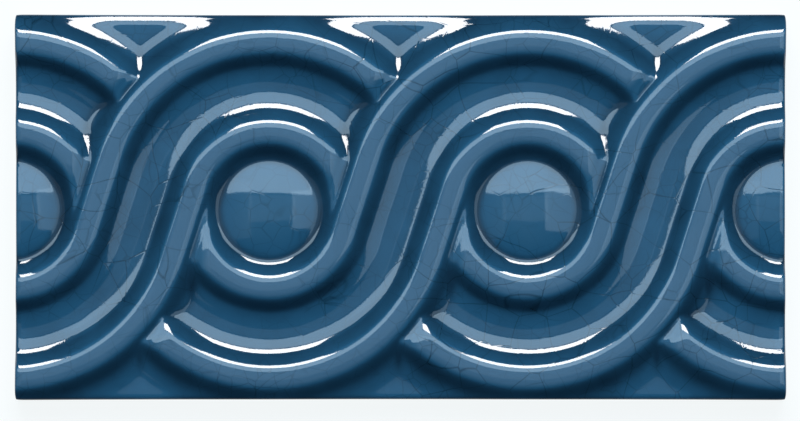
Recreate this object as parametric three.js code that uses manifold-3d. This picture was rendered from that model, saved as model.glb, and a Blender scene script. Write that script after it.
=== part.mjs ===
// A relief glazed wall tile with a guilloche border: ridged straps weave past a row of
// domed bosses. The tile is pressed and fired in one piece, so it is one closed solid.
//
// Millimetres. +X runs along the tile, +Y across it, +Z out of the glazed face.
// The origin is the middle of the back.

import * as THREE from 'three';
import { mergeVertices } from 'three/addons/utils/BufferGeometryUtils.js';
import Module from 'manifold-3d';

// The body: a slab whose long sides draw in a little towards their middle.
const tileLength = 152;
const tileWidth = 76;
const bodyThickness = 8.5;
const cornerRadius = 0.8;
const longSideBow = 0.45;
const shortSideBow = 0.25;
const arrisRound = 0.7;

// The pattern: bosses in a row at one pitch, a little off the middle of the tile,
// and a strap that leans this far from upright where it passes between two bosses.
const bossPitch = 51;
const patternShiftX = -0.4;
const patternShiftY = -0.5;
const strapLean = 18;

// The strap's section: a hollow channel between two ridges. It is a chain of arcs and one
// straight wall that run into each other without a corner, given by radius and slope.
// The hollow beside a ridge runs out level in the middle of the channel, and as far out
// on the ridge's other side, where it is a little deeper and ends just over the ground.
const ridgeOffset = 8.9;
const crownRadius = 10;
const crownSlope = 8;
const shoulderRadius = 3;
const wallSlope = 41;
const wallWidth = 1.3;
const footRadius = 2.5;
const channelFootSlope = 20;
const groundFootSlope = 30;
const hollowLift = 0.05;

// The boss: a low dome, whose foot meets the hollow of the straps that ring it.
const bossRadius = 10.8;
const bossHeight = 2.6;
const domeRadius = 36;

// How far the straps and the bosses are sunk into the body, how finely they are faceted,
// and how far up a ridge's wall covers the end of a strap that dives under it.
const sinkDepth = 2;
const facetLength = 3.4;
const crownFacets = 1;
const footFacets = 1;
const bendFacets = 2;
const bossFacets = 36;
const domeFacets = 4;
const curveFacets = 12;
const sideFacets = 6;
const arrisFacets = 2;
const lapCover = 3.3;

const glaze = new THREE.MeshStandardMaterial({ color: 0x315f80, roughness: 0.12, metalness: 0 });

const lean = THREE.MathUtils.degToRad(strapLean);
const strapRadius = (bossPitch / 2) * Math.cos(lean);
const coverHalfWidth = ridgeOffset + lapCover;
const channelSide = ridgeProfile(channelFootSlope);
const groundSide = ridgeProfile(groundFootSlope);
const ridgeHeight = hollowLift - groundSide.at(-1).y;
const reliefTop = bodyThickness + ridgeHeight;

const wasm = await Module();
wasm.setup();

// A closed three.js geometry as a solid that can be joined and cut.
function toSolid(geometry) {
  const bare = geometry.clone();
  bare.deleteAttribute('normal');
  bare.deleteAttribute('uv');
  const merged = mergeVertices(bare, 1e-4);
  return new wasm.Manifold(new wasm.Mesh({
    numProp: 3,
    vertProperties: new Float32Array(merged.attributes.position.array),
    triVerts: new Uint32Array(merged.index.array),
  }));
}

// A joined and cut solid as a three.js geometry.
function toGeometry(solid) {
  const mesh = solid.getMesh();
  const geometry = new THREE.BufferGeometry();
  geometry.setAttribute('position', new THREE.BufferAttribute(mesh.vertProperties, 3));
  geometry.setIndex(new THREE.BufferAttribute(mesh.triVerts, 1));
  return geometry;
}

// The tile's outline, drawn in by an inset: rounded corners and sides that bow inwards.
function tileOutline(inset) {
  const x = tileLength / 2 - inset;
  const y = tileWidth / 2 - inset;
  const r = cornerRadius;
  const outline = new THREE.Shape();
  outline.moveTo(r - x, -y);
  outline.quadraticCurveTo(0, 2 * longSideBow - y, x - r, -y);
  outline.quadraticCurveTo(x, -y, x, r - y);
  outline.quadraticCurveTo(x - 2 * shortSideBow, 0, x, y - r);
  outline.quadraticCurveTo(x, y, x - r, y);
  outline.quadraticCurveTo(0, y - 2 * longSideBow, r - x, y);
  outline.quadraticCurveTo(-x, y, -x, y - r);
  outline.quadraticCurveTo(2 * shortSideBow - x, 0, -x, r - y);
  outline.quadraticCurveTo(-x, -y, r - x, -y);
  return outline;
}

// The outline as a solid of a given thickness from the back up, its arrises eased.
function outlineSolid(thickness) {
  const solid = new THREE.ExtrudeGeometry(tileOutline(arrisRound), {
    depth: thickness - 2 * arrisRound,
    curveSegments: sideFacets,
    bevelThickness: arrisRound,
    bevelSize: arrisRound,
    bevelSegments: arrisFacets,
  });
  solid.translate(0, 0, arrisRound);
  return toSolid(solid);
}

// The middle of a boss. Boss 0 stands on the tile's left end.
function bossX(number) {
  return patternShiftX + (number - 1.5) * bossPitch;
}

// The centre line of the strap that passes under boss `number` and over the next one:
// half a circle about each, joined by a straight stretch that touches both.
function strapPath(number) {
  const under = new THREE.Vector3(bossX(number), patternShiftY, 0);
  const over = new THREE.Vector3(bossX(number + 1), patternShiftY, 0);
  const touch = new THREE.Vector3(Math.cos(lean), -Math.sin(lean), 0).multiplyScalar(strapRadius);
  const underArc = new ArcAbout(under, strapRadius, -Math.PI - lean, -lean);
  const overArc = new ArcAbout(over, strapRadius, Math.PI - lean, -lean);
  const path = new THREE.CurvePath();
  path.add(underArc);
  path.add(new THREE.LineCurve3(under.clone().add(touch), over.clone().sub(touch)));
  path.add(overArc);
  return path;
}

// A level arc about a point, from one angle to another.
class ArcAbout extends THREE.Curve {
  constructor(centre, radius, fromAngle, toAngle) {
    super();
    Object.assign(this, { centre, radius, fromAngle, toAngle });
  }

  getPoint(t, target = new THREE.Vector3()) {
    const angle = THREE.MathUtils.lerp(this.fromAngle, this.toAngle, t);
    target.set(Math.cos(angle), Math.sin(angle), 0);
    return target.multiplyScalar(this.radius).add(this.centre);
  }
}

// Adds points to a falling profile, along an arc between two slopes. A hollow arc ends
// less steep than it starts, and a crowned one steeper.
function addArc(profile, radius, fromSlope, toSlope, facets) {
  const from = THREE.MathUtils.degToRad(fromSlope);
  const to = THREE.MathUtils.degToRad(toSlope);
  const start = profile.at(-1);
  for (let facet = 1; facet <= facets; facet += 1) {
    const slope = THREE.MathUtils.lerp(from, to, facet / facets);
    const run = radius * Math.abs(Math.sin(slope) - Math.sin(from));
    const fall = radius * Math.abs(Math.cos(slope) - Math.cos(from));
    profile.push(new THREE.Vector2(start.x + run, start.y - fall));
  }
}

// Half a ridge as points of distance from its crown and height over it, out to where the
// hollow beside it runs level. The foot of its wall ends and the hollow starts at a slope.
function ridgeProfile(footSlope) {
  const profile = [new THREE.Vector2(0, 0)];
  addArc(profile, crownRadius, 0, crownSlope, crownFacets);
  addArc(profile, shoulderRadius, crownSlope, wallSlope, bendFacets);
  const shoulderEnd = profile.at(-1);
  const wallFall = wallWidth * Math.tan(THREE.MathUtils.degToRad(wallSlope));
  profile.push(new THREE.Vector2(shoulderEnd.x + wallWidth, shoulderEnd.y - wallFall));
  addArc(profile, footRadius, wallSlope, footSlope, footFacets);
  const hollowWidth = ridgeOffset - profile.at(-1).x;
  const hollowRadius = hollowWidth / Math.sin(THREE.MathUtils.degToRad(footSlope));
  addArc(profile, hollowRadius, footSlope, 0, bendFacets);
  return profile;
}

// One half of the strap's section as points of distance from the centre line and height
// over the ground, from the middle of the channel over the ridge to the far hollow's end.
function halfSection() {
  const inner = channelSide.map(({ x, y }) => new THREE.Vector2(ridgeOffset - x, ridgeHeight + y));
  const outer = groundSide.map(({ x, y }) => new THREE.Vector2(ridgeOffset + x, ridgeHeight + y));
  return [...inner.reverse(), ...outer.slice(1)];
}

// The strap's whole section. A sweep takes its x as depth below the ground and its y as
// the distance to the left of the path.
function strapSection() {
  const half = halfSection();
  const { x: halfWidth } = half.at(-1);
  const left = half.map(({ x, y }) => new THREE.Vector2(-y, x));
  const right = half.slice(1).reverse().map(({ x, y }) => new THREE.Vector2(-y, -x));
  const underside = [
    new THREE.Vector2(sinkDepth, halfWidth),
    new THREE.Vector2(sinkDepth, -halfWidth),
  ];
  return new THREE.Shape([...left, ...underside, ...right]);
}

// A strap: its section swept along its path, resting on the ground of the body.
function strap(number) {
  const path = strapPath(number);
  const swept = new THREE.ExtrudeGeometry(strapSection(), {
    steps: Math.ceil(path.getLength() / facetLength),
    extrudePath: path,
  });
  swept.translate(0, 0, bodyThickness);
  return toSolid(swept);
}

// The room that a strap takes where it lies on top, from below one boss to above the
// next. Nothing of the straps beside it may show there.
function strapCover(number) {
  const inner = strapRadius - coverHalfWidth;
  const outer = strapRadius + coverHalfWidth;
  const room = new THREE.Shape();
  room.absarc(bossX(number), patternShiftY, inner, -Math.PI / 2, -lean, false);
  room.absarc(bossX(number + 1), patternShiftY, outer, Math.PI - lean, Math.PI / 2, true);
  room.absarc(bossX(number + 1), patternShiftY, inner, Math.PI / 2, Math.PI - lean, false);
  room.absarc(bossX(number), patternShiftY, outer, -lean, -Math.PI / 2, true);
  const cover = new THREE.ExtrudeGeometry(room, {
    depth: reliefTop,
    curveSegments: curveFacets,
    bevelEnabled: false,
  });
  cover.translate(0, 0, bodyThickness - sinkDepth / 2);
  return toSolid(cover);
}

// A boss: a dome turned about its own upright axis, sunk into the body.
function boss(number) {
  const profile = [new THREE.Vector2(0, -sinkDepth), new THREE.Vector2(bossRadius, -sinkDepth)];
  for (let facet = domeFacets; facet >= 0; facet -= 1) {
    const radius = bossRadius * (facet / domeFacets);
    const fall = domeRadius - Math.sqrt(domeRadius ** 2 - radius ** 2);
    profile.push(new THREE.Vector2(radius, bossHeight - fall));
  }
  const turned = new THREE.LatheGeometry(profile, bossFacets);
  turned.rotateX(Math.PI / 2);
  turned.translate(bossX(number), patternShiftY, bodyThickness);
  return toSolid(turned);
}

// The whole relief: every strap less the room of its two neighbours, and the bosses,
// trimmed to the tile's sides, which are carried up past the relief for that.
function relief() {
  const bossNumbers = [0, 1, 2, 3];
  const strapNumbers = [-1, ...bossNumbers];
  let joined = boss(bossNumbers[0]);
  for (const number of bossNumbers.slice(1)) {
    joined = joined.add(boss(number));
  }
  for (const number of strapNumbers) {
    const visible = strap(number).subtract(strapCover(number - 1)).subtract(strapCover(number + 1));
    joined = joined.add(visible);
  }
  return joined.intersect(outlineSolid(reliefTop + sinkDepth));
}

const tile = new THREE.Mesh(toGeometry(outlineSolid(bodyThickness).add(relief())), glaze);
tile.name = 'relief_tile';

const part = new THREE.Group();
part.add(tile);

export default part;
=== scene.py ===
# %% [markdown]
# # A relief glazed tile
#
# The object is one wall tile of pressed clay: straps with two ridges each weave past a row
# of round bosses, under a glossy blue glaze that has crackled. A potter makes it in two
# steps, and so does this lesson. First comes a master model of the pattern, cut and turned
# to exact templates. Then a soft sheet of clay is pressed over the master, so that every
# meeting of two forms melts into a soft hollow. The master alone would have hard seams.
#
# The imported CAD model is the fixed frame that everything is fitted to, so it is loaded
# first. Its box gives the size of the tile.

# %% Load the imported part
import math

import bpy
import numpy as np
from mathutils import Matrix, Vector


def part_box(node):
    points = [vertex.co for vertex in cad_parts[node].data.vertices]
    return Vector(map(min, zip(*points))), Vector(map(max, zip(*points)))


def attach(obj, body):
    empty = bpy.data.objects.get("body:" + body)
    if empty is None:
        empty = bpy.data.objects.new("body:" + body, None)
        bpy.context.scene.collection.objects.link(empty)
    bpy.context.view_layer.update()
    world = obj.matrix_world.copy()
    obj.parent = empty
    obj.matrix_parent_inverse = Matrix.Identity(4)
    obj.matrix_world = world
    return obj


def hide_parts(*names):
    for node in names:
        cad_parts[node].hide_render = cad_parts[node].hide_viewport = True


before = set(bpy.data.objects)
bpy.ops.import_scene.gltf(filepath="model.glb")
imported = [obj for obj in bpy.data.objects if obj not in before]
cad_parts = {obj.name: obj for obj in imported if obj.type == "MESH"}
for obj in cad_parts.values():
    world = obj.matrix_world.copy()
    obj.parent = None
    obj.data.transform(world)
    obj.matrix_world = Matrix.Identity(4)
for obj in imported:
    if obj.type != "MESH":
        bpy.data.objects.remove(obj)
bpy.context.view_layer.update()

NODE = "relief_tile"
box_low, box_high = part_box(NODE)
tile_length, tile_width, tile_thickness = box_high - box_low
print(f"tile {tile_length:.4f} x {tile_width:.4f} x {tile_thickness:.4f} m")

# %% [markdown]
# ## The measures of the pattern
#
# Potters plan such a border with compass and ruler, and the same few numbers are enough
# here: the pitch of the bosses, the lean of the straps, and the radii and slopes of the
# template that shapes a ridge. They are real sizes, in metres, named once and used by
# every step below. A strap runs half round one boss and half round the next. The straight
# stretch between the two half circles touches both, which fixes the radius.

# %% Measures
MM = 0.001
BOSS_PITCH = 51 * MM
PATTERN_X = -0.4 * MM
PATTERN_Y = -0.5 * MM
STRAP_LEAN = math.radians(18)
STRAP_RADIUS = BOSS_PITCH / 2 * math.cos(STRAP_LEAN)
RIDGE_OFFSET = 8.9 * MM

CROWN_Z = box_high.z - 0.15 * MM
CROWN_RADIUS = 10 * MM
CROWN_SLOPE = math.radians(8)
SHOULDER_RADIUS = 3 * MM
WALL_SLOPE = math.radians(41)
WALL_WIDTH = 1.3 * MM
FOOT_RADIUS = 2.5 * MM
CHANNEL_FOOT_SLOPE = math.radians(20)
GROUND_FOOT_SLOPE = math.radians(30)

BOSS_RADIUS = 10.8 * MM
DOME_RADIUS = 33.5 * MM

# Boss 0 stands on the left end. Strap n passes under boss n and over boss n + 1.
BOSS_NUMBERS = range(0, 4)
STRAP_NUMBERS = range(-1, 4)


def boss_centre(number):
    """The middle of a boss, on the level of the tile's back."""
    return Vector((PATTERN_X + (number - 1.5) * BOSS_PITCH, PATTERN_Y, 0))


print(f"strap radius {STRAP_RADIUS / MM:.2f} mm, bosses {BOSS_PITCH / MM:.0f} mm apart")

# %% [markdown]
# ## The template of a ridge
#
# A model maker cuts the outline of the ridge into a sheet of metal and drags it along the
# wet plaster. The outline is a chain of arcs that run into each other without a corner: a
# nearly flat crown, a round shoulder, a short straight wall, a foot, and a hollow that
# runs out level. Slopes and radii describe it better than heights would, because on a
# glossy glaze the eye reads slopes: each lamp shows where the surface has a certain slope.

# %% Ridge template
ARC_POINTS = 6


def add_arc(profile, radius, from_slope, to_slope):
    """Lengthens a falling profile of (distance, height) points along one arc."""
    start_distance, start_height = profile[-1]
    for step in range(1, ARC_POINTS + 1):
        slope = from_slope + (to_slope - from_slope) * step / ARC_POINTS
        run = radius * abs(math.sin(slope) - math.sin(from_slope))
        fall = radius * abs(math.cos(slope) - math.cos(from_slope))
        profile.append((start_distance + run, start_height - fall))


def ridge_profile(foot_slope):
    """Half a ridge from its crown out to where the hollow beside it runs level."""
    profile = [(0, CROWN_Z)]
    add_arc(profile, CROWN_RADIUS, 0, CROWN_SLOPE)
    add_arc(profile, SHOULDER_RADIUS, CROWN_SLOPE, WALL_SLOPE)
    distance, height = profile[-1]
    profile.append((distance + WALL_WIDTH, height - WALL_WIDTH * math.tan(WALL_SLOPE)))
    add_arc(profile, FOOT_RADIUS, WALL_SLOPE, foot_slope)
    hollow_width = RIDGE_OFFSET - profile[-1][0]
    add_arc(profile, hollow_width / math.sin(foot_slope), foot_slope, 0)
    return profile


def half_section():
    """The strap from the middle of its channel over one ridge to the level ground."""
    towards_channel = reversed(ridge_profile(CHANNEL_FOOT_SLOPE))
    towards_ground = ridge_profile(GROUND_FOOT_SLOPE)[1:]
    inside = [(RIDGE_OFFSET - distance, height) for distance, height in towards_channel]
    return inside + [(RIDGE_OFFSET + distance, height) for distance, height in towards_ground]


strap_half = half_section()
strap_section = [(-across, z) for across, z in reversed(strap_half[1:])] + strap_half
STRAP_HALF_WIDTH, GROUND_Z = strap_half[-1]
print(f"strap section: {len(strap_section)} points, {2 * STRAP_HALF_WIDTH / MM:.1f} mm wide")
print(f"ground at {GROUND_Z / MM:.2f} mm, channel at {strap_half[0][1] / MM:.2f} mm")

# %% [markdown]
# ## The strap of the master
#
# On the real master a strap is one band that swings round the bosses. It could be a curve
# with a bevel, but a curve pinches its section in tight bends. So the section is drawn as
# a chain of edges, spun half round the lower boss, pulled straight and spun half round the
# next boss the other way. Spin keeps the template square to its path, just as dragging it
# does. The operator turns clockwise for a positive angle. One strap is made and the
# others are copies of it, one pitch apart.

# %% Sweep the strap
SPIN_STEP = math.radians(1.5)
STRAIGHT_STEPS = 8


def deselect_all():
    """Leaves object mode with nothing selected, so that an operator acts on one thing."""
    if bpy.context.mode != "OBJECT":
        bpy.ops.object.mode_set(mode="OBJECT")
    bpy.ops.object.select_all(action="DESELECT")


def draw_chain(name, points):
    """A chain of edges through points: a tiny plane merged to one point, then extruded."""
    deselect_all()
    bpy.ops.mesh.primitive_plane_add(size=MM, location=points[0])
    bpy.ops.object.transform_apply(location=True)
    bpy.context.object.name = name
    bpy.ops.object.mode_set(mode="EDIT")
    bpy.ops.mesh.select_all(action="SELECT")
    bpy.ops.mesh.merge(type="CENTER")
    for start, end in zip(points, points[1:]):
        bpy.ops.mesh.extrude_region_move(TRANSFORM_OT_translate={"value": end - start})
    bpy.ops.mesh.select_all(action="SELECT")
    return bpy.context.object


def sweep_strap(name, arc_angle):
    """Strap 0, swept through the same angle round each of its two bosses."""
    under, over = boss_centre(0), boss_centre(1)
    start_angle = -STRAP_LEAN - arc_angle
    outward = Vector((math.cos(start_angle), math.sin(start_angle), 0))
    points = [
        under + outward * (STRAP_RADIUS + across) + Vector((0, 0, z))
        for across, z in strap_section
    ]
    strap = draw_chain(name, points)
    steps = round(arc_angle / SPIN_STEP)
    bpy.ops.mesh.spin(steps=steps, angle=-arc_angle, center=under, axis=(0, 0, 1))
    touch = Vector((math.cos(STRAP_LEAN), -math.sin(STRAP_LEAN), 0)) * STRAP_RADIUS
    stride = (over - under - 2 * touch) / STRAIGHT_STEPS
    for _ in range(STRAIGHT_STEPS):
        bpy.ops.mesh.extrude_region_move(TRANSFORM_OT_translate={"value": stride})
    bpy.ops.mesh.spin(steps=steps, angle=arc_angle, center=over, axis=(0, 0, 1))
    deselect_all()
    return strap


def copies_along(piece, numbers):
    """Copies a piece that was made at number 0 to each number, and joins them."""
    pieces = []
    for number in numbers:
        deselect_all()
        piece.select_set(True)
        bpy.context.view_layer.objects.active = piece
        shift = (number * BOSS_PITCH, 0, 0)
        bpy.ops.object.duplicate_move(TRANSFORM_OT_translate={"value": shift})
        pieces.append(bpy.context.object)
    for copy in pieces:
        copy.select_set(True)
    bpy.ops.object.join()
    bpy.ops.object.transform_apply(location=True)
    bpy.data.objects.remove(piece)
    return bpy.context.object


HALF_TURN = math.pi
TO_TOP = math.pi / 2 - STRAP_LEAN
whole_straps = copies_along(sweep_strap("whole_strap", HALF_TURN), STRAP_NUMBERS)
over_straps = copies_along(sweep_strap("over_strap", TO_TOP), STRAP_NUMBERS)
print(f"whole straps: {len(whole_straps.data.polygons)} faces")
print(f"upper stretches: {len(over_straps.data.polygons)} faces")

# %% [markdown]
# ## The bosses and the ground of the master
#
# A boss is turned work: a low dome with no rim of its own, whose foot meets the hollow of
# the straps that ring it. Its half outline is drawn from the middle outwards and spun a
# full turn, and the doubled points at the seam and on the axis are merged. The ground is a
# plain plate under everything. All of it is joined into one master, since the sheet is
# pressed onto one object.

# %% Turn the bosses
BOSS_TOP = CROWN_Z - 1.0 * MM
DOME_POINTS = 10
BOSS_SPIN_STEPS = 96
SINK = 1.5 * MM
MERGE_DISTANCE = 0.001 * MM


def boss_outline():
    """Half the boss as (radius, height): the dome, then straight down below the ground."""
    outline = []
    for step in range(DOME_POINTS + 1):
        radius = BOSS_RADIUS * step / DOME_POINTS
        fall = DOME_RADIUS - math.sqrt(DOME_RADIUS**2 - radius**2)
        outline.append((radius, BOSS_TOP - fall))
    outline.append((BOSS_RADIUS, GROUND_Z - SINK))
    return outline


def turn_boss():
    """Boss 0, spun a full turn about its upright axis."""
    centre = boss_centre(0)
    points = [centre + Vector((radius, 0, z)) for radius, z in boss_outline()]
    boss = draw_chain("bosses", points)
    bpy.ops.mesh.spin(steps=BOSS_SPIN_STEPS, angle=math.tau, center=centre, axis=(0, 0, 1))
    bpy.ops.mesh.select_all(action="SELECT")
    bpy.ops.mesh.remove_doubles(threshold=MERGE_DISTANCE)
    bpy.ops.mesh.normals_make_consistent(inside=False)
    deselect_all()
    return boss


bosses = copies_along(turn_boss(), BOSS_NUMBERS)
bpy.ops.mesh.primitive_plane_add(size=2 * tile_length, location=(0, 0, GROUND_Z))
ground = bpy.context.object

deselect_all()
for form in (ground, bosses, whole_straps):
    form.select_set(True)
bpy.context.view_layer.objects.active = whole_straps
bpy.ops.object.join()
master = whole_straps
print(f"master: {len(master.data.polygons)} faces")

# %% [markdown]
# ## Where each strap lies on top
#
# The straps weave: each one lies on top where it climbs between two bosses, and its two
# ends dive under its neighbours. A mesh master could be cut at the crossings, but clay
# needs no cut. The pressed sheet only has to know, for each of its points, whether it lies
# within the upper stretch of some strap. That is a plain distance: to an arc, a straight
# line and a second arc.

# %% Distance to the upper stretch of a strap


def distance_to_upper_stretch(x, y, number):
    """The distance of points to the centre line of a strap, where it lies on top."""
    under, over = boss_centre(number), boss_centre(number + 1)
    touch = Vector((math.cos(STRAP_LEAN), -math.sin(STRAP_LEAN), 0)) * STRAP_RADIUS
    start, end = under + touch, over - touch
    along = end - start
    share = ((x - start.x) * along.x + (y - start.y) * along.y) / along.length_squared
    share = np.clip(share, 0, 1)
    nearest = np.hypot(x - start.x - share * along.x, y - start.y - share * along.y)
    for centre, side in ((under, 1), (over, -1)):
        to_x, to_y = (x - centre.x) * side, (y - centre.y) * side
        angle = np.arctan2(to_y, to_x)
        beside = (angle >= -math.pi / 2) & (angle <= -STRAP_LEAN)
        arc_distance = np.abs(np.hypot(to_x, to_y) - STRAP_RADIUS)
        nearest = np.where(beside, np.minimum(nearest, arc_distance), nearest)
    return nearest


# %% [markdown]
# ## The sheet of clay
#
# Now the visible tile begins: a fine grid, a little smaller than the tile so that its rim
# can be rolled over later. Its cells are about two pixels of the photograph wide, so that
# the ridges stay smooth. Two Shrinkwrap modifiers press it straight down: points inside an
# upper stretch onto that stretch alone, all others onto the whole master. After that the
# master has done its work and is cleared away.

# %% Press the sheet
ARRIS_ROUND = 0.35 * MM
CELLS_LONG = 404
CELLS_WIDE = 202
COVER_HALF_WIDTH = RIDGE_OFFSET + 3.3 * MM
PRESS_HEIGHT = 2 * tile_thickness


def grid_points(mesh):
    """The positions of a mesh's points as an array of rows x, y, z."""
    flat = np.empty(len(mesh.vertices) * 3, np.float32)
    mesh.vertices.foreach_get("co", flat)
    return flat.reshape(-1, 3).astype(float)


def set_points(mesh, points):
    """Moves a mesh's points to the rows of an array."""
    mesh.vertices.foreach_set("co", points.astype(np.float32).ravel())
    mesh.update()


def press_onto(sheet, target, group, invert):
    """Drops the points of a vertex group straight down onto a target."""
    bpy.ops.object.modifier_add(type="SHRINKWRAP")
    press = sheet.modifiers[-1]
    press.target = target
    press.wrap_method = "PROJECT"
    press.use_project_z = True
    press.use_negative_direction = True
    press.use_positive_direction = False
    press.vertex_group = group
    press.invert_vertex_group = invert
    bpy.ops.object.modifier_apply(modifier=press.name)


deselect_all()
bpy.ops.mesh.primitive_grid_add(
    x_subdivisions=CELLS_LONG, y_subdivisions=CELLS_WIDE, size=1, location=(0, 0, PRESS_HEIGHT)
)
tile = bpy.context.object
tile.name = "glazed_relief_tile"
tile.scale = (tile_length - 2 * ARRIS_ROUND, tile_width - 2 * ARRIS_ROUND, 1)
bpy.ops.object.transform_apply(location=True, scale=True)

places = grid_points(tile.data)
to_stretch = [distance_to_upper_stretch(places[:, 0], places[:, 1], n) for n in STRAP_NUMBERS]
to_stretch = np.min(to_stretch, axis=0)
on_top = tile.vertex_groups.new(name="on_top")
on_top.add([int(i) for i in np.nonzero(to_stretch < COVER_HALF_WIDTH)[0]], 1, "REPLACE")
press_onto(tile, over_straps, "on_top", False)
press_onto(tile, master, "on_top", True)
heights = grid_points(tile.data)[:, 2]
print(f"sheet: {len(places)} points, {heights.min() / MM:.2f} to {heights.max() / MM:.2f} mm high")

for form in (master, over_straps):
    bpy.data.objects.remove(form)

# %% [markdown]
# ## Tooling the soft sheet
#
# Three things happen to the sheet before it is fired, and none of them is a new form, so
# they are worked straight into the heights of its points:
#
# - Where a strap dives under its neighbour, the modeller cuts the ends of its ridges back
#   with a round tool. A trough runs along the upper strap, and the lower strap takes
#   whichever is lower there, its own height or the trough's far bank.
# - Clay and glaze can't keep a sharp inside corner. A point that lies well below the
#   average of its neighbourhood is filled up to just under that average.
# - The arris along each side is wiped round with a wet sponge, most of all at the top. The
#   sponge slides over level clay and hardly touches a steep wall.
#
# A soft lower-of-two does the first step, so that a cut ridge ends in a rounded nose. Its
# softness grows with the distance from the upper strap, whose own foot stays as it is.

# %% Cut the ridge ends, fill the creases, wipe the arris
TROUGH_RADIUS = 1.0 * MM
BANK_SLOPE = math.radians(36)
NOSE_ROUND = 2.0 * MM
NOSE_REACH = 1.5 * MM
LEAST_SOFTNESS = 0.05
FILL_REACH = 1.8 * MM
FILL_SLACK = 0.5 * MM
TOP_ROUND = 4.0 * MM
BOTTOM_ROUND = 1.2 * MM
END_ROUND = 2.0 * MM
WIPE_SLOPE = math.radians(28)
BELL_END = 2.5

cell = (tile_length - 2 * ARRIS_ROUND) / CELLS_LONG
rows_and_columns = (CELLS_WIDE + 1, CELLS_LONG + 1)


def lower_of_two(first, second, softness):
    """The lower of two heights, rounded off where they are nearly the same."""
    overlap = np.clip(0.5 + (second - first) / (2 * softness), 0, 1)
    return second * (1 - overlap) + first * overlap - softness * overlap * (1 - overlap)


def averaged(field, reach):
    """A field averaged with the weights of a bell curve, whose spread is the reach."""
    taps = math.ceil(BELL_END * reach / cell)
    weights = np.exp(-0.5 * (np.arange(-taps, taps + 1) * cell / reach) ** 2)
    weights /= weights.sum()
    for axis in (0, 1):
        ends = [(taps, taps) if axis == side else (0, 0) for side in (0, 1)]
        padded = np.pad(field, ends, mode="edge")
        size = field.shape[axis]
        field = sum(
            weight * np.take(padded, range(shift, shift + size), axis=axis)
            for shift, weight in enumerate(weights)
        )
    return field


def slope_of(field):
    """The slope of a height field, as an angle."""
    return np.arctan(np.hypot(*np.gradient(field, cell)))


def arris_fall(to_edge, radius):
    """How far a round arris falls at a distance from the edge of the sheet."""
    into_round = np.clip(radius * math.sin(WIPE_SLOPE) - to_edge, 0, None)
    return radius - np.sqrt(radius**2 - into_round**2)


points = grid_points(tile.data)
x, y, z = points.T
trough_z = np.interp(COVER_HALF_WIDTH, *zip(*strap_half))
past_trough = np.clip(to_stretch - COVER_HALF_WIDTH, 0, None)
bend = np.minimum(past_trough, TROUGH_RADIUS * math.sin(BANK_SLOPE))
bank = TROUGH_RADIUS - np.sqrt(TROUGH_RADIUS**2 - bend**2)
bank = bank + (past_trough - bend) * math.tan(BANK_SLOPE)
softness = NOSE_ROUND * np.clip(past_trough / NOSE_REACH, LEAST_SOFTNESS, 1)
cut = lower_of_two(z, trough_z + bank, softness)
z = np.where(to_stretch < COVER_HALF_WIDTH, z, cut)

field = z.reshape(rows_and_columns)
filled = np.maximum(field, averaged(field, FILL_REACH) - FILL_SLACK)
print(f"deepest fill {(filled - field).max() / MM:.2f} mm")

half_long = tile_length / 2 - ARRIS_ROUND
half_wide = tile_width / 2 - ARRIS_ROUND
wiped = arris_fall(half_wide - y, TOP_ROUND) + arris_fall(half_wide + y, BOTTOM_ROUND)
wiped += arris_fall(half_long - np.abs(x), END_ROUND)
level_share = 1 - np.clip(slope_of(filled) / WALL_SLOPE, 0, 1)
z = filled.ravel() - wiped * averaged(level_share, cell).ravel()
set_points(tile.data, np.column_stack((x, y, z)))

# %% [markdown]
# ## Waves of the hand
#
# A hand-finished tile is nowhere quite true, and on a mirror-like glaze a wave of a tenth
# of a millimetre shows as a kink in a highlight. A few passes of Smooth take the facets of
# the master out, and a Displace modifier with a cloud texture adds the waves. Both are
# applied, so the mesh that leaves this file is the mesh that is seen.

# %% Smooth the sheet and let it wave
WAVE_LENGTH = 14 * MM
WAVE_HEIGHT = 0.14 * MM
SMOOTH_PASSES = 3

deselect_all()
tile.select_set(True)
bpy.context.view_layer.objects.active = tile
bpy.ops.object.modifier_add(type="SMOOTH")
smoothing = tile.modifiers[-1]
smoothing.iterations = SMOOTH_PASSES
smoothing.use_x = False
smoothing.use_y = False
bpy.ops.object.modifier_apply(modifier=smoothing.name)

waves = bpy.data.textures.new("waves", "CLOUDS")
waves.noise_scale = WAVE_LENGTH
bpy.ops.object.modifier_add(type="DISPLACE")
waving = tile.modifiers[-1]
waving.texture = waves
waving.direction = "Z"
waving.strength = WAVE_HEIGHT
bpy.ops.object.modifier_apply(modifier=waving.name)
waved = grid_points(tile.data)[:, 2]
print(f"sheet waved, {waved.min() / MM:.2f} to {waved.max() / MM:.2f} mm high")

# %% [markdown]
# ## How thick the glaze lies
# Molten glaze runs off the crests, where it "breaks" to a paler colour, and pools at the
# feet of the walls. Since it is see-through, it looks nearly black where it is deep. On a
# steep wall the eye also looks through it at a slant, so along a longer way. The same value
# also carries painted shade: it darkens hollows, creases, low ground and steep walls, where
# shade falls, so the dark there is partly glaze and partly painted shade. Each point of the
# sheet gets this value as an attribute: 0 on a crest, about a third on a boss, a half on
# low open ground and 1 in a pool, which is found as a place that lies well below its
# surroundings. The material reads the attribute later. It is set before the rim is made,
# because extruding hands the value of the edge down the sides.

# %% Measure the glaze depth and the painted shade
CREST_FALL = 0.14 * MM
RUN_OFF_FALL = 0.3 * MM
POOL_REACH = 1.5 * MM
POOL_SINK = 0.45 * MM
SLANT_FROM, SLANT_TO = math.radians(8), math.radians(30)
RUN_OFF_SHARE, SUNK_SHARE, POOL_AND_SHADE_SHARE, SLANT_SHARE = 0.25, 0.25, 0.5, 0.4

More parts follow.
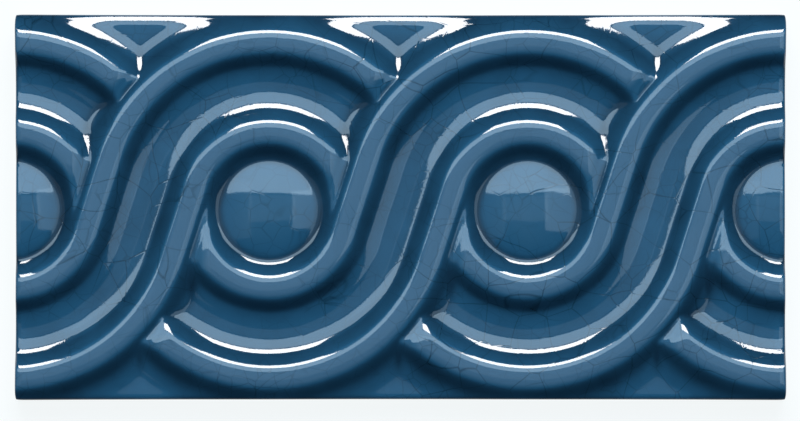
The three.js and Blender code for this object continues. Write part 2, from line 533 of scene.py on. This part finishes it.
field = waved.reshape(rows_and_columns)
run_off = np.clip((CROWN_Z - CREST_FALL - field) / RUN_OFF_FALL, 0, 1)
sunk = np.clip((CROWN_Z - field) / (CROWN_Z - GROUND_Z), 0, 1)
pooled_and_shaded = np.clip((averaged(field, POOL_REACH) - field) / POOL_SINK, 0, 1)
slanted = np.clip((slope_of(field) - SLANT_FROM) / (SLANT_TO - SLANT_FROM), 0, 1)
# Depth mixes real glaze thickness with painted shade in hollows, creases and on steep walls.
depth_and_shade = RUN_OFF_SHARE * run_off + SUNK_SHARE * sunk
depth_and_shade = depth_and_shade + np.maximum(POOL_AND_SHADE_SHARE * pooled_and_shaded, SLANT_SHARE * slanted)
depth_and_shade = averaged(depth_and_shade, cell / 2)
glaze_depth_and_shade = tile.data.attributes.new("glaze_depth_and_shade", "FLOAT", "POINT")
glaze_depth_and_shade.data.foreach_set("value", depth_and_shade.astype(np.float32).ravel())
print(f"{(pooled_and_shaded > 0.5).mean():.0%} of the face lies under a pool")

# %% [markdown]
# ## The rim, the sides and the back
#
# The sheet ends a little inside the tile's outline. Its border loop is extruded outwards
# and down along the last of the arris, then straight down the side, and in again over a
# small chamfer. One face closes the back. The chamfer is steep enough to be shaded as a
# sharp edge, which keeps the shading of that one large face flat. Last, the sides are
# drawn in towards their middle and the corners eased, as a tile shrinks and wears.

# %% Roll the rim over
RIM_RINGS = 5
BACK_CHAMFER = 0.6 * MM
SIDE_BOW = 0.15 * MM
END_BOW = 0.25 * MM
CORNER_PULL = 0.0035
CORNER_POWER = 60
SHARP_FROM = math.radians(35)


def extrude_border(fall):
    """Extrudes the selected border loop straight down."""
    bpy.ops.mesh.extrude_region_move(TRANSFORM_OT_translate={"value": (0, 0, -fall)})


def spread_border(from_inset, to_inset):
    """Scales the selected border loop so that its inset from the outline changes."""
    ratio_x = (tile_length / 2 - to_inset) / (tile_length / 2 - from_inset)
    ratio_y = (tile_width / 2 - to_inset) / (tile_width / 2 - from_inset)
    bpy.ops.transform.resize(value=(ratio_x, ratio_y, 1), center_override=(0, 0, 0))


def level_border(height):
    """Flattens the selected border loop to one height."""
    bpy.ops.transform.resize(value=(1, 1, 0), center_override=(0, 0, height))


bpy.ops.object.mode_set(mode="EDIT")
bpy.ops.mesh.select_all(action="SELECT")
bpy.ops.mesh.region_to_loop()
rim_radius = ARRIS_ROUND / (1 - math.sin(WIPE_SLOPE))
slopes = np.linspace(WIPE_SLOPE, math.pi / 2, RIM_RINGS + 1)
for upper, lower in zip(slopes, slopes[1:]):
    extrude_border(rim_radius * (math.cos(upper) - math.cos(lower)))
    spread_border(rim_radius * (1 - math.sin(upper)), rim_radius * (1 - math.sin(lower)))
extrude_border(0)
level_border(BACK_CHAMFER)
extrude_border(BACK_CHAMFER)
spread_border(0, BACK_CHAMFER)
bpy.ops.mesh.edge_face_add()
bpy.ops.mesh.select_all(action="SELECT")
bpy.ops.mesh.normals_make_consistent(inside=False)
deselect_all()

points = grid_points(tile.data)
x, y, z = points.T
share_x, share_y = np.abs(x) / (tile_length / 2), np.abs(y) / (tile_width / 2)
corner = 1 - CORNER_PULL * (share_x**2 * share_y) ** CORNER_POWER
drawn_x = x * (1 - END_BOW / (tile_length / 2) * (1 - share_y**2) * share_x) * corner
drawn_y = y * (1 - SIDE_BOW / (tile_width / 2) * (1 - share_x**2) * share_y) * corner
set_points(tile.data, np.column_stack((drawn_x, drawn_y, z)))
tile.select_set(True)
bpy.context.view_layer.objects.active = tile
bpy.ops.object.shade_smooth_by_angle(angle=SHARP_FROM)
print(f"tile: {len(tile.data.polygons)} faces")

# %% [markdown]
# ## The glaze
#
# The real finish is a clear lead glaze stained with cobalt and a little copper, over a
# cream clay. What the eye gets from it: a hard, wet gloss; a blue that is greyer and paler
# where the glaze is thin and nearly black where it pools, darkened further by painted shade
# in hollows and on steep walls; clouds of uneven colour; and the crackle, a net of hair
# cracks with flakes of three to eight millimetres, that opens when the glaze shrinks more
# than the clay. The cracks are finer than a pixel, so they are drawn a seventh of a
# millimetre wide, and faint. The back and the lower part of the sides are bare biscuit, as
# a tile is dipped face down.

# %% Helpers for the material


def linear(hex_colour):
    """A colour from an sRGB hex string, turned linear for the shader."""
    channels = [int(hex_colour[i : i + 2], 16) / 255 for i in (0, 2, 4)]
    return [c / 12.92 if c <= 0.04045 else ((c + 0.055) / 1.055) ** 2.4 for c in channels] + [1]


def add_node(tree, kind, properties, inputs):
    """Adds a node. Each input gets a plain value, or a link from another node's output."""
    node = tree.nodes.new(kind)
    for name, value in properties.items():
        setattr(node, name, value)
    for key, value in inputs.items():
        if isinstance(value, bpy.types.NodeSocket):
            tree.links.new(value, node.inputs[key])
        else:
            node.inputs[key].default_value = value
    return node


# %% Crackle glaze over biscuit
# The dark stops are partly pooled glaze and partly painted shade in hollows and on walls.
GLAZE_AND_SHADE_COLOURS = {0.0: "304e65", 0.33: "20465f", 0.5: "1a425c", 1.0: "081826"}
CRACK_COLOUR = "02141f"
BISCUIT_COLOUR = "d9cdb8"
CLOUD_SIZE = 9 * MM
CLOUD_SHARE = 0.3
FLAKE_SIZES = (8 * MM, 3.5 * MM)
BEND_SCALE, BEND_SHARE = 0.7, 0.4
PATCH_SPAN = 3
PATCH_FROM, PATCH_TO = 0.42, 0.6
NARROW_NET_SHARE = 0.6
CRACK_TINT = 0.5
CRACK_WIDTH = 0.14 * MM
PEEL_SIZE = 0.5 * MM
PEEL_HEIGHT = 0.002 * MM
CRACK_DEPTH = 0.005 * MM
GLAZE_LINE, GLAZE_FULL = 3 * MM, 3.6 * MM
GLAZE_IOR = 1.55
GLAZE_ROUGHNESS, BISCUIT_ROUGHNESS = 0.06, 0.85


def cracks(tree, place, flake_size):
    """A net of curved hair cracks, 1 on a crack and 0 beside it, that fades out in places."""
    bend = add_node(
        tree,
        "ShaderNodeTexNoise",
        {},
        {"Vector": place, "Scale": BEND_SCALE / flake_size, "Detail": 1},
    )
    bent = add_node(
        tree,
        "ShaderNodeVectorMath",
        {"operation": "MULTIPLY_ADD"},
        {0: bend.outputs["Color"], 1: [BEND_SHARE * flake_size] * 3, 2: place},
    ).outputs[0]
    flakes = add_node(
        tree,
        "ShaderNodeTexVoronoi",
        {"feature": "DISTANCE_TO_EDGE"},
        {"Vector": bent, "Scale": 1 / flake_size},
    )
    line = add_node(
        tree,
        "ShaderNodeMapRange",
        {},
        {
            "Value": flakes.outputs["Distance"],
            "From Max": CRACK_WIDTH / flake_size,
            "To Min": 1,
            "To Max": 0,
        },
    )
    patches = add_node(
        tree,
        "ShaderNodeTexNoise",
        {},
        {"Vector": place, "Scale": 1 / (PATCH_SPAN * flake_size)},
    )
    present = add_node(
        tree,
        "ShaderNodeMapRange",
        {},
        {"Value": patches.outputs["Fac"], "From Min": PATCH_FROM, "From Max": PATCH_TO},
    )
    return add_node(
        tree,
        "ShaderNodeMath",
        {"operation": "MULTIPLY"},
        {0: line.outputs[0], 1: present.outputs[0]},
    ).outputs[0]


def crackle_glaze():
    """Blue crackle glaze on the face and sides, bare clay on the back."""
    material = bpy.data.materials.new("crackle_glaze")
    material.use_nodes = True
    tree = material.node_tree
    shader = tree.nodes["Principled BSDF"]
    shader.inputs["IOR"].default_value = GLAZE_IOR
    place = tree.nodes.new("ShaderNodeTexCoord").outputs["Object"]

    # The depth value darkens the blue for thick glaze and, as painted shade, in hollows and on
    # walls.
    depth_and_shade = add_node(tree, "ShaderNodeAttribute", {"attribute_name": "glaze_depth_and_shade"}, {})
    clouds = add_node(
        tree, "ShaderNodeTexNoise", {}, {"Vector": place, "Scale": 1 / CLOUD_SIZE, "Detail": 4}
    )
    cloudy = add_node(
        tree,
        "ShaderNodeMath",
        {"operation": "MULTIPLY_ADD"},
        {0: clouds.outputs["Fac"], 1: CLOUD_SHARE, 2: depth_and_shade.outputs["Fac"]},
    )
    centred = add_node(
        tree,
        "ShaderNodeMath",
        {"operation": "SUBTRACT"},
        {0: cloudy.outputs[0], 1: CLOUD_SHARE / 2},
    )
    ramp = add_node(tree, "ShaderNodeValToRGB", {}, {"Fac": centred.outputs[0]})
    stops = ramp.color_ramp.elements
    while len(stops) < len(GLAZE_AND_SHADE_COLOURS):
        stops.new(0.5)
    for stop, (position, colour) in zip(stops, GLAZE_AND_SHADE_COLOURS.items()):
        stop.position = position
        stop.color = linear(colour)

    wide_net, narrow_net = (cracks(tree, place, size) for size in FLAKE_SIZES)
    net = add_node(
        tree,
        "ShaderNodeMath",
        {"operation": "MULTIPLY_ADD"},
        {0: narrow_net, 1: NARROW_NET_SHARE, 2: wide_net},
    ).outputs[0]
    crack_share = add_node(
        tree,
        "ShaderNodeMath",
        {"operation": "MULTIPLY", "use_clamp": True},
        {0: net, 1: CRACK_TINT},
    ).outputs[0]
    crackled = add_node(
        tree,
        "ShaderNodeMix",
        {"data_type": "RGBA"},
        {"Factor": crack_share, 6: ramp.outputs["Color"], 7: linear(CRACK_COLOUR)},
    ).outputs[2]

    height = add_node(tree, "ShaderNodeSeparateXYZ", {}, {"Vector": place}).outputs["Z"]
    glazed = add_node(
        tree,
        "ShaderNodeMapRange",
        {},
        {"Value": height, "From Min": GLAZE_LINE, "From Max": GLAZE_FULL},
    ).outputs[0]
    colour = add_node(
        tree,
        "ShaderNodeMix",
        {"data_type": "RGBA"},
        {"Factor": glazed, 6: linear(BISCUIT_COLOUR), 7: crackled},
    ).outputs[2]
    roughness = add_node(
        tree,
        "ShaderNodeMapRange",
        {},
        {"Value": glazed, "To Min": BISCUIT_ROUGHNESS, "To Max": GLAZE_ROUGHNESS},
    ).outputs[0]

    peel = add_node(
        tree, "ShaderNodeTexNoise", {}, {"Vector": place, "Scale": 1 / PEEL_SIZE, "Detail": 1}
    )
    peel_bump = add_node(
        tree, "ShaderNodeBump", {}, {"Height": peel.outputs["Fac"], "Distance": PEEL_HEIGHT}
    )
    crack_bump = add_node(
        tree,
        "ShaderNodeBump",
        {"invert": True},
        {"Height": net, "Distance": CRACK_DEPTH, "Normal": peel_bump.outputs[0]},
    )
    tree.links.new(colour, shader.inputs["Base Color"])
    tree.links.new(roughness, shader.inputs["Roughness"])
    tree.links.new(crack_bump.outputs[0], shader.inputs["Normal"])
    return material


tile.data.materials.append(crackle_glaze())
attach(tile, "root")
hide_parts(NODE)
print("glaze on the tile")

# %% [markdown]
# ## The lamps
#
# A glossy relief is lit for its reflections. A surface that slopes by some angle mirrors
# what stands at twice that angle from the zenith, so each lamp is placed by the slopes on
# which it is to show. In the photo three things can be read off the tile: slopes of 6 to
# 16 degrees towards the top edge mirror a broad soft box, slopes of 17 to 27 degrees a
# narrow bright strip nearer the horizon, and slopes towards the right a weaker box. Two
# faint boxes, on the left and overhead, keep the crests and the level ground from going
# dull. All of them are area lamps that are aimed at the tile.

# %% Lamps
LAMP_DISTANCE = 1.6
BOX_LIGHT = (0.62, 0.84, 1.0)
STRIP_LIGHT = (1.0, 1.0, 1.0)


def hang_lamp(name, azimuth, zenith, half_width, radiance, colour):
    """An area lamp that shows between two zenith angles, in degrees, towards an azimuth."""
    low, high = (math.radians(angle) for angle in zenith)
    middle = (low + high) / 2
    turn = math.radians(azimuth)
    direction = Vector(
        (math.sin(middle) * math.sin(turn), math.sin(middle) * math.cos(turn), math.cos(middle))
    )
    data = bpy.data.lights.new(name, "AREA")
    data.shape = "RECTANGLE"
    data.size = 2 * LAMP_DISTANCE * math.tan(math.radians(half_width))
    data.size_y = 2 * LAMP_DISTANCE * math.tan((high - low) / 2)
    data.energy = radiance * math.pi * data.size * data.size_y
    data.color = colour
    lamp = bpy.data.objects.new(name, data)
    bpy.context.scene.collection.objects.link(lamp)
    lamp.location = direction * LAMP_DISTANCE
    lamp.rotation_euler = (-direction).to_track_quat("-Z", "Y").to_euler()
    lamp.visible_camera = False
    print(f"{name}: {data.size:.2f} x {data.size_y:.2f} m, {data.energy:.1f} W")


hang_lamp("top_box", 0, (12, 32), 38, 4.6, BOX_LIGHT)
hang_lamp("top_strip", 0, (34, 55), 18, 22, STRIP_LIGHT)
hang_lamp("right_box", 90, (14, 45), 14, 1.5, BOX_LIGHT)
hang_lamp("left_box", -90, (14, 48), 20, 0.35, BOX_LIGHT)
hang_lamp("overhead_box", 0, (-8, 10), 16, 0.5, BOX_LIGHT)

# %% [markdown]
# ## The room and the table
#
# The room round a product table is kept dark, so that only the boxes show in the glaze.
# The photo shows hardly a shadow beside the tile. A table of pale paper with light coming
# through it gives that: the paper glows by itself, and the lamps add little to it.

# %% Room and table
ROOM_COLOUR = "1a1c1e"
PAPER_COLOUR = "3c3e3f"
GLOW_COLOUR = "fafeff"
GLOW_STRENGTH = 0.91
TABLE_SIZE = 4


def glowing_paper():
    """Matt paper with light coming through it."""
    material = bpy.data.materials.new("glowing_paper")
    material.use_nodes = True
    inputs = material.node_tree.nodes["Principled BSDF"].inputs
    inputs["Base Color"].default_value = linear(PAPER_COLOUR)
    inputs["Roughness"].default_value = 1
    inputs["Emission Color"].default_value = linear(GLOW_COLOUR)
    inputs["Emission Strength"].default_value = GLOW_STRENGTH
    return material


room = bpy.data.worlds.new("room")
bpy.context.scene.world = room
room.use_nodes = True
room.node_tree.nodes["Background"].inputs["Color"].default_value = linear(ROOM_COLOUR)

bpy.ops.mesh.primitive_plane_add(size=TABLE_SIZE, location=(0, 0, 0))
table = bpy.context.object
table.name = "table"
table.data.materials.append(glowing_paper())
print("table under the tile")

# %% [markdown]
# ## The camera
#
# The photo looks straight down on the face from far away, since no side of the tile shows
# in it. The lens follows from the scale: so many metres of tile on so many pixels, at the
# camera's height. The camera stands over the middle of the photo, not of the tile, because
# the margins round the tile differ a little.

# %% Camera
PHOTO_WIDTH, PHOTO_HEIGHT = 800, 421
LEFT_EDGE, RIGHT_EDGE, TOP_EDGE, BOTTOM_EDGE = 15, 786, 14, 400.5
CAMERA_HEIGHT = 2.0
SENSOR_WIDTH = 36

metres_per_pixel = tile_length / (RIGHT_EDGE - LEFT_EDGE)
camera_data = bpy.data.cameras.new("camera")
camera = bpy.data.objects.new("camera", camera_data)
bpy.context.scene.collection.objects.link(camera)
camera.location = (
    (PHOTO_WIDTH - LEFT_EDGE - RIGHT_EDGE) / 2 * metres_per_pixel,
    (TOP_EDGE + BOTTOM_EDGE - PHOTO_HEIGHT) / 2 * metres_per_pixel,
    GROUND_Z + CAMERA_HEIGHT,
)
camera_data.sensor_width = SENSOR_WIDTH
camera_data.lens = SENSOR_WIDTH * CAMERA_HEIGHT / (PHOTO_WIDTH * metres_per_pixel)
bpy.context.scene.camera = camera
bpy.context.scene.view_settings.view_transform = "Standard"
print(f"lens {camera_data.lens:.0f} mm, {metres_per_pixel / MM:.3f} mm per pixel")
